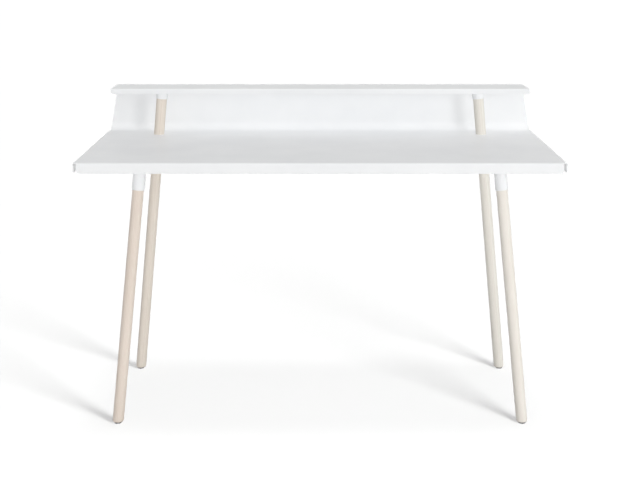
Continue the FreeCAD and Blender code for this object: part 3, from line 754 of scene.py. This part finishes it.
# %% Leg holes
def open_round_hole(bm, centre, radius, frame_half):
    """Replace the square round a centre by a round hole."""
    square = [face for face in bm.faces
              if (face.calc_center_median() - centre).length < frame_half / 4]
    border = {edge for face in square for edge in face.edges}
    bmesh.ops.delete(bm, geom=square, context="FACES_ONLY")
    cut = bmesh.ops.subdivide_edges(bm, edges=list(border), cuts=11)
    ring = [edge for edge in new_edges(cut["geom"]) if edge.is_boundary]
    for vert in new_verts(bmesh.ops.extrude_edge_only(bm, edges=ring)["geom"]):
        vert.co = centre + (vert.co - centre).normalized() * radius


for sign in (-1, 1):
    open_round_hole(bm, Vector((sign * hole.x, hole.y, desk_top)), hole_radius, hole_frame)
face_up(bm)
piece_from(bm, "work_surface", white_coat, "desktop_sheet",
           edge=sheet_edge, wall=sheet_gauge)

# %% [markdown]
# ## The shelf
# The shelf is a shallow tray turned over: a front lip, two short ends and a rear flange that
# closes over the back panel. It is folded in the same way as the work surface. The lip goes on
# to the ends, past the corner that is cut out for the bends.

# %% Sizes of the shelf
shelf_low, shelf_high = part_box("shelf_sheet")
shelf_half = shelf_high.x
shelf_front = shelf_low.y
shelf_rear = shelf_high.y
shelf_top = shelf_high.z
shelf_under = shelf_top - sheet_gauge
shelf_side_flange = 0.014
shelf_rear_flange = 0.015
shelf_strip = 0.001
seam_gap = 0.0003

shelf_lip_end = shelf_half - flange_gap
shelf_foot = shelf_half - bend - shelf_strip
shelf_side_end = shelf_rear - 2 * sheet_gauge - seam_gap - flange_gap
print("shelf depth, mm:", round((shelf_rear - shelf_front) * 1000, 1))

# %% Shelf
def shelf_waste(middle):
    """The four corners."""
    return abs(middle.x) > shelf_foot and not shelf_front + bend < middle.y < shelf_side_end


bm = flat_blank(-shelf_half, shelf_half, shelf_front, shelf_rear, shelf_top)
rule_lines(bm, 0, [-shelf_foot, shelf_foot])
rule_lines(bm, 1, [shelf_front + bend + shelf_strip, shelf_side_end])
cut_away(bm, shelf_waste)
fold_out(bm, row(bm, y=shelf_front), (0, 0, shelf_low.z - shelf_top))
fold_out(bm, row(bm, side=shelf_half), (0, 0, -shelf_side_flange))
fold_out(bm, row(bm, y=shelf_rear), (0, 0, -shelf_rear_flange))
for fold in ({"y": shelf_front}, {"side": shelf_half}, {"y": shelf_rear}):
    bend_fold(bm, row(bm, z=shelf_top, **fold), bend, segments=6)
bend_end = shelf_front + bend + shelf_strip / 2
for sign in (-1, 1):
    lip_side = [edge for edge in row(bm, x=sign * shelf_foot)
                if max(vert.co.y for vert in edge.verts) < bend_end]
    fold_out(bm, lip_side, (sign * (shelf_lip_end - shelf_foot), 0, 0))
round_corners(bm, corners_at(bm, shelf_lip_end, shelf_low.z), lip_rounding)
face_up(bm)
piece_from(bm, "shelf", white_coat, "shelf_sheet",
           edge=sheet_edge, wall=sheet_gauge)

# %% [markdown]
# ## Stiffening rails
# Two rails under the work surface keep the thin sheet from drumming. Each is a strip folded to
# the section of a hat and spot welded through its two feet. The strip is one row of edges,
# extruded along the section, and the folds are bevelled. The welds are low round dimples.

# %% Rails
rail_gauge = 0.0015
rail_bend = 0.003
rail_edge = 0.0002
rail_foot = 0.016
rail_crown = 0.044
weld_count = 11
weld_margin = 0.05
weld_reach = 0.0305
weld_dimple = [(0.0, 0.0003), (0.0014, 0.0003), (0.0022, 0.0006), (0.0030, 0.0005),
               (0.0036, -0.0002), (0.0, -0.0002)]


def hat_strip(low, high):
    """The strip of a rail, folded between two corners and given its thickness."""
    y = low.y
    z = high.z - rail_gauge
    drop = z - low.z
    bm = bmesh.new()
    bm.edges.new([bm.verts.new((x, y, z)) for x in (low.x, high.x)])
    for across, up in ((rail_foot, 0.0), (0.0, -drop), (rail_crown, 0.0), (0.0, drop), (rail_foot, 0.0)):
        line = row(bm, y=y, z=z)
        fold_out(bm, line, (0, across, up))
        y += across
        z += up
    bend_fold(bm, [edge for edge in bm.edges if len(edge.link_faces) == 2], rail_bend, segments=4)
    bmesh.ops.recalc_face_normals(bm, faces=bm.faces[:])
    crown = min(bm.faces, key=lambda face: face.calc_center_median().z)
    if crown.normal.z > 0.0:
        bmesh.ops.reverse_faces(bm, faces=bm.faces[:])
    bmesh.ops.solidify(bm, geom=bm.faces[:], thickness=rail_gauge)
    return bm


def hat_rail(name, node):
    """A rail with a row of spot welds along each foot."""
    low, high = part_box(node)
    bm = hat_strip(low, high)
    dimple = turn_profile(weld_dimple, steps=16)
    under = Matrix.Rotation(math.pi, 4, "X")
    middle = (low.y + high.y) / 2
    step = (high.x - low.x - 2 * weld_margin) / (weld_count - 1)
    for sign in (-1, 1):
        for index in range(weld_count):
            spot = (low.x + weld_margin + index * step, middle + sign * weld_reach, high.z - rail_gauge)
            add_part(bm, dimple, Matrix.Translation(spot) @ under)
    dimple.free()
    piece_from(bm, name, white_coat, node, edge=rail_edge)


hat_rail("front_rail", "front_stiffener")
hat_rail("rear_rail", "rear_stiffener")

# %% [markdown]
# ## Legs
# A leg is a round rod, cut level at the floor and under its plate, with the edge at the floor
# rounded so that it doesn't splinter. A long cylinder is laid along the axis, two planes cut it,
# the cuts are filled, and the rim at the foot is bevelled.

# %% Legs
leg_radius = 0.0155
foot_rounding = 0.007
rod_length = 1.2
rod_middle = 0.5


def level_cut(bm, z, keep_above):
    """Cut a rod level, close the cut and return its rim."""
    cut = bmesh.ops.bisect_plane(bm, geom=everything(bm), plane_co=(0, 0, z), plane_no=(0, 0, 1),
                                 clear_inner=keep_above, clear_outer=not keep_above)
    rim = new_edges(cut["geom_cut"])
    bmesh.ops.edgeloop_fill(bm, edges=rim)
    return rim


def wooden_leg(leg, pale, deep, twist):
    """One leg in two given tones, darker on the left legs as painted shade, with the grain turned by twist.
    """
    end_name, side_name = leg.split("_")
    node = f"{end_name}_leg_{side_name}"
    low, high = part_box(node)
    bm = bmesh.new()
    bmesh.ops.create_cone(bm, cap_ends=True, segments=72, radius1=leg_radius, radius2=leg_radius,
                          depth=rod_length)
    along = legs[leg] @ Matrix.Translation((0, 0, rod_middle))
    bmesh.ops.transform(bm, matrix=along, verts=bm.verts[:])
    level_cut(bm, high.z, keep_above=False)
    rim = level_cut(bm, low.z, keep_above=True)
    soften(bm, rim, foot_rounding, segments=8)
    bmesh.ops.recalc_face_normals(bm, faces=bm.faces[:])
    material, mapping, pattern = finish_material(f"wood_{leg}", wood, bump_strength=0.3,
                                                 bump_distance=0.0003, shine=0.3)
    pattern.inputs["Pale"].default_value = (*pale, 1.0)
    pattern.inputs["Deep"].default_value = (*deep, 1.0)
    mapping.inputs["Location"].default_value = legs[leg].translation
    mapping.inputs["Rotation"].default_value = (legs[leg] @ Matrix.Rotation(twist, 4, "Z")).to_euler()
    rod = piece_from(bm, f"leg_{leg}", material, node)
    leg_shadows[side_name].objects.link(rod)


# The left legs get darker, warmer tones than the right ones: painted shade, as the light comes from the
# right.
wooden_leg("front_left", (0.77, 0.68, 0.60), (0.63, 0.53, 0.45), twist=0.4)
wooden_leg("front_right", (0.82, 0.78, 0.72), (0.68, 0.63, 0.56), twist=2.3)
wooden_leg("rear_left", (0.77, 0.70, 0.62), (0.64, 0.56, 0.48), twist=4.0)
wooden_leg("rear_right", (0.79, 0.76, 0.70), (0.66, 0.62, 0.55), twist=5.2)

# %% [markdown]
# ## Collars
# A collar is a short steel sleeve welded to a plate, and the plate is bolted under the sheet. The
# sleeve is an outline turned about the leg's axis and cut level where it meets the plate. Where
# the two meet there is a weld, laid in small overlapping drops, so the bead is a ring whose
# thickness swells and shrinks.

# %% Sleeves and welds
bore = 0.0158
skin = 0.0173
into_plate = 0.0005
uncut_length = 0.2
drop_count = 14.0


def sleeve(leg, end_z, cut_z):
    """A tube on a leg's axis from a rounded lower rim up to a level cut."""
    bm = turn_profile([(bore, uncut_length), (bore, 0.0004), (bore + 0.0004, 0.0), (skin - 0.0005, 0.0),
                       (skin - 0.00015, 0.00015), (skin, 0.0005), (skin, uncut_length)], steps=64)
    along = legs[leg] @ Matrix.Translation((0, 0, end_z * stretch))
    bmesh.ops.transform(bm, matrix=along, verts=bm.verts[:])
    cut = bmesh.ops.bisect_plane(bm, geom=everything(bm), plane_co=(0, 0, cut_z), plane_no=(0, 0, 1),
                                 clear_outer=True)
    bmesh.ops.bridge_loops(bm, edges=new_edges(cut["geom_cut"]))
    return bm


def weld_bead(radius, thick):
    """A ring of weld round height 0, with the ripple of its drops."""
    bm = bmesh.new()
    made = bmesh.ops.create_circle(bm, segments=10, radius=thick)
    bmesh.ops.rotate(bm, matrix=Matrix.Rotation(math.pi / 2, 3, "X"), verts=made["verts"])
    bmesh.ops.translate(bm, vec=(radius, 0, 0), verts=made["verts"])
    bmesh.ops.spin(bm, geom=everything(bm), cent=(0, 0, 0), axis=(0, 0, 1),
                   angle=math.tau, steps=120, use_merge=True)
    for vert in bm.verts:
        angle = math.atan2(vert.co.y, vert.co.x)
        core = Vector((radius * math.cos(angle), radius * math.sin(angle), 0.0))
        swell = 0.92 + 0.12 * abs(math.sin(angle * drop_count))
        vert.co = core + (vert.co - core) * swell
    bmesh.ops.recalc_face_normals(bm, faces=bm.faces[:])
    return bm


print("collar wall, mm:", round((skin - bore) * 1000, 2))

# %% Plates
plate_rounding = 0.008


def bored_plate(low, high, centre, hole_radius):
    """A plate with rounded corners; the opening for a leg is left out where its radius is 0."""
    bm = flat_blank(low.x, high.x, low.y, high.y, low.z)
    if hole_radius:
        frame_half = hole_radius * 1.3
        rule_lines(bm, 0, [centre.x - frame_half, centre.x + frame_half])
        rule_lines(bm, 1, [centre.y - frame_half, centre.y + frame_half])
        open_round_hole(bm, Vector((centre.x, centre.y, low.z)), hole_radius, frame_half)
    round_corners(bm, [vert for vert in bm.verts if len(vert.link_edges) == 2], plate_rounding)
    face_up(bm)
    bmesh.ops.reverse_faces(bm, faces=bm.faces[:])
    bmesh.ops.solidify(bm, geom=bm.faces[:], thickness=high.z - low.z)
    return bm


print("plate corners rounded to, mm:", plate_rounding * 1000)

# %% Collars
collar_edge = 0.0004
plate_hole = bore + 0.0003
socket_plate = 0.004
socket_bead = 0.0016
cup_plate = 0.003
cup_bead = 0.0009
collar_ends = {"front_socket": desk_under - 0.092,
               "rear_socket": desk_under - 0.070,
               "shelf_cup": shelf_under - 0.029}


def collar(name, leg, node, end_z, plate_gauge, bead_size, hole_radius):
    """A sleeve, a plate and the weld between them."""
    low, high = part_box(node)
    plate_low = Vector((low.x, low.y, high.z - plate_gauge))
    centre = axis_at(leg, plate_low.z)
    parts = [(sleeve(leg, end_z, plate_low.z + into_plate), Matrix.Identity(4)),
             (bored_plate(plate_low, high, centre, hole_radius), Matrix.Identity(4)),
             (weld_bead(skin + bead_size / 3, bead_size), Matrix.Translation(centre))]
    bm = bmesh.new()
    for part, place in parts:
        add_part(bm, part, place)
        part.free()
    piece_from(bm, name, white_coat, node, edge=collar_edge)


for side_name in ("left", "right"):
    collar(f"front_collar_{side_name}", f"front_{side_name}", f"front_socket_{side_name}",
           collar_ends["front_socket"], socket_plate, socket_bead, 0.0)
    collar(f"rear_collar_{side_name}", f"rear_{side_name}", f"rear_socket_{side_name}",
           collar_ends["rear_socket"], socket_plate, socket_bead, plate_hole)
    collar(f"shelf_collar_{side_name}", f"rear_{side_name}", f"shelf_cup_{side_name}",
           collar_ends["shelf_cup"], cup_plate, cup_bead, 0.0)

# %% [markdown]
# ## Glides and their nails
# A thin plastic disc under each leg protects the floor and the end grain. It is turned from an
# outline with a rounded lower rim and a recess for the head of one nail. The nail's head is a
# shallow dome with a small dent from the hammer.

# %% Glide and nail
def arc(centre, radius, start, end, count):
    """Points of (radius, height) along part of a circle, with angles in degrees."""
    angles = [math.radians(start + (end - start) * step / count) for step in range(count + 1)]
    return [(centre[0] + radius * math.cos(a), centre[1] + radius * math.sin(a)) for a in angles]


recess_wall = [(0.0043, 0.0018), (0.0043, 0.0003), (0.0046, 0.0)]
lower_rim = arc((0.009, 0.001), 0.001, -90, 0, 5)
upper_side = [(0.01, 0.0027), (0.0097, 0.003), (0.0014, 0.003), (0.0014, 0.0018), (0.0043, 0.0018)]
glide = turn_profile(recess_wall + lower_rim + upper_side, steps=48)

nail_dent = [(0.0, 0.00075), (0.0011, 0.0007), (0.0013, 0.0006)]
nail_dome = [(0.0022, 0.00063), (0.0033, 0.0009), (0.0038, 0.0012), (0.004, 0.0015), (0.004, 0.0018)]
nail_shank = [(0.00125, 0.0018), (0.00125, 0.015), (0.0, 0.018)]
nail = turn_profile(nail_dent + nail_dome + nail_shank, steps=32)
print("glide:", len(glide.faces), "faces, nail:", len(nail.faces), "faces")

# %% Glides and nails
nails = bmesh.new()
for leg in legs:
    end_name, side_name = leg.split("_")
    bm = bmesh.new()
    foot = Matrix.Translation(legs[leg].translation)
    add_part(bm, glide, foot)
    add_part(nails, nail, foot)
    disc = piece_from(bm, f"glide_{leg}", dark_plastic, f"{end_name}_glide_{side_name}")
    leg_shadows[side_name].objects.link(disc)
piece_from(nails, "nails", zinc, "glide_nails")
glide.free()
nail.free()

# %% [markdown]
# ## Studs and nuts
# Threaded studs are welded to the underside of the sheets and carry flange nuts. A thread is a
# fine ridge that winds up the stud; at this size a stack of ridges looks the same and stays
# light, so the outline of the stud is a zigzag turned about its axis. The nut is a six-sided
# block with its corners cut back, on a thin round flange.

# %% Stud
def threaded_stud(radius, length, pitch):
    """Hangs down from height 0, with a small flash of weld at the root."""
    core = radius - 0.0004
    height = -0.0008
    points = [(0.0, 0.0), (radius + 0.0005, 0.0), (radius + 0.0003, -0.0004), (core, height)]
    while height - pitch > -length + 0.0008:
        points.append((radius, height - pitch / 2))
        points.append((core, height - pitch))
        height -= pitch
    points += [(core, -length + 0.0005), (radius - 0.0009, -length), (0.0, -length)]
    return turn_profile(points, steps=20)


socket_stud = threaded_stud(radius=0.003, length=0.014, pitch=0.001)
shelf_stud = threaded_stud(radius=0.0025, length=0.012, pitch=0.0008)
print("stud:", len(socket_stud.faces), "faces")

# %% Nut
def flange_nut(flats, height, flange):
    """Hangs down from height 0, flange upwards."""
    rim = 0.0012
    sunk = 0.0002
    bm = turn_profile([(0.0, 0.0), (flange / 2 - 0.0001, 0.0), (flange / 2, -0.0002),
                       (flange / 2, -rim / 2), (flats / 2, -rim), (0.0, -rim)], steps=32)
    block = bmesh.new()
    corner = flats / math.sqrt(3)
    bmesh.ops.create_cone(block, cap_ends=True, segments=6, radius1=corner, radius2=corner,
                          depth=height - sunk)
    bmesh.ops.translate(block, vec=(0, 0, -(height + sunk) / 2), verts=block.verts[:])
    low = min(vert.co.z for vert in block.verts)
    round_corners(block, [vert for vert in block.verts if vert.co.z < low + 1e-6], 0.0011, segments=1)
    soften(block, [edge for edge in block.edges if edge.calc_face_angle(0.0) > 0.5], 0.0002, segments=2)
    add_part(bm, block, Matrix.Identity(4))
    block.free()
    return bm


socket_nut = flange_nut(flats=0.010, height=0.006, flange=0.013)
shelf_nut = flange_nut(flats=0.008, height=0.005, flange=0.011)
print("nut:", len(socket_nut.faces), "faces")

# %% Where the nuts sit
def plate_corners(leg, z, reach_x, reach_y):
    """The studs of a plate: four in its corners, or two in a row where reach_y is 0."""
    centre = axis_at(leg, z)
    return [Vector((centre.x + a * reach_x, centre.y + b * reach_y, z))
            for a in (-1, 1) for b in ((-1, 1) if reach_y else (0,))]


socket_places = []
for leg in legs:
    for spot in plate_corners(leg, desk_under - socket_plate, reach_x=0.036, reach_y=0.028):
        socket_places.append((Vector((spot.x, spot.y, desk_under)), spot))

shelf_places = []
for leg in ("rear_left", "rear_right"):
    for spot in plate_corners(leg, shelf_under - cup_plate, reach_x=0.030, reach_y=0.0):
        shelf_places.append((Vector((spot.x, spot.y, shelf_under)), spot))
bolt_edge = 0.008
bolt_row = (-0.55, -0.33, -0.11, 0.11, 0.33, 0.55)
return_y = desk_high.y - return_flange + bolt_edge
for x in bolt_row:
    shelf_places.append((Vector((x, return_y, shelf_under)), Vector((x, return_y, return_under))))
print("nuts under the desk:", len(socket_places), "and under the shelf:", len(shelf_places))

# %% Studs and nuts
nut_turns = (0.0, 0.5, 0.2, 0.9, 0.35, 0.7, 0.1, 0.6)


def fasten(name_stud, name_nut, stud, nut, places):
    """Copies of a stud and a nut at (stud place, nut place) pairs, each nut turned its own way."""
    studs = bmesh.new()
    nuts = bmesh.new()
    for index, (high, low) in enumerate(places):
        turn = Matrix.Rotation(nut_turns[index % len(nut_turns)], 4, "Z")
        add_part(studs, stud, Matrix.Translation(high))
        add_part(nuts, nut, Matrix.Translation(low) @ turn)
    stud.free()
    nut.free()
    piece_from(studs, name_stud + "_set", zinc, name_stud)
    piece_from(nuts, name_nut + "_set", zinc, name_nut)


fasten("socket_studs", "socket_nuts", socket_stud, socket_nut, socket_places)
fasten("shelf_studs", "shelf_nuts", shelf_stud, shelf_nut, shelf_places)

# %% [markdown]
# ## Leg screws
# One screw through each collar, on the side away from the seat, locks the leg. Its head is a low
# button with a six-sided recess for the key. The button is turned with an open top; the opening's
# ring of edges is drawn in to a hexagon, pushed down and closed.

# %% Leg screw
key_half = 0.0015
key_depth = 0.0016


def open_rim(bm):
    """The edges round an opening."""
    return [edge for edge in bm.edges if edge.is_boundary]


def key_screw():
    """Stands on height 0 with its head upwards and its shank below."""
    shank = [(0.0, -0.0131), (0.0019, -0.0121), (0.0024, -0.0112), (0.0024, 0.0)]
    button = [(0.0045, 0.0), (0.0045, 0.0007)] + arc((0.0033, 0.0009), 0.0012, 0, 60, 3)
    bm = turn_profile(shank + button + [(0.0030, 0.0026), (0.0022, 0.0028)], steps=48)
    for vert in new_verts(bmesh.ops.extrude_edge_only(bm, edges=open_rim(bm))["geom"]):
        angle = math.atan2(vert.co.y, vert.co.x)
        from_flat = (angle % (math.pi / 3)) - math.pi / 6
        reach = key_half / math.cos(from_flat)
        vert.co = Vector((reach * math.cos(angle), reach * math.sin(angle), vert.co.z))
    fold_out(bm, open_rim(bm), (0, 0, -key_depth))
    bottom = bmesh.ops.edgeloop_fill(bm, edges=open_rim(bm))
    bmesh.ops.poke(bm, faces=bottom["faces"])
    bmesh.ops.recalc_face_normals(bm, faces=bm.faces[:])
    return bm


screw = key_screw()
print("screw:", len(screw.faces), "faces")

# %% Leg screws
screw_rise = 0.016
screw_stand = skin + 0.0003
backwards = Matrix.Rotation(-math.pi / 2, 4, "X")

screws = bmesh.new()
for end_name, collar_kind in (("front", "front_socket"), ("rear", "rear_socket"), ("rear", "shelf_cup")):
    seat = Matrix.Translation((0.0, screw_stand, collar_ends[collar_kind] * stretch + screw_rise))
    for side_name in ("left", "right"):
        add_part(screws, screw, legs[f"{end_name}_{side_name}"] @ seat @ backwards)
screw.free()
piece_from(screws, "collar_screws", zinc, "leg_screws")

# %% [markdown]
# The dressed desk should keep to the box of the imported model, so its box is measured and how far
# it grows past the imported box is printed.

# %% Sizes and finish
seen_box = [list(corner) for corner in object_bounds()]
grown = [max(seen_box[1][axis] - cad_box[1][axis], cad_box[0][axis] - seen_box[0][axis])
         for axis in range(3)]
print("grown past the CAD box, mm:", [round(value * 1000, 2) for value in grown])
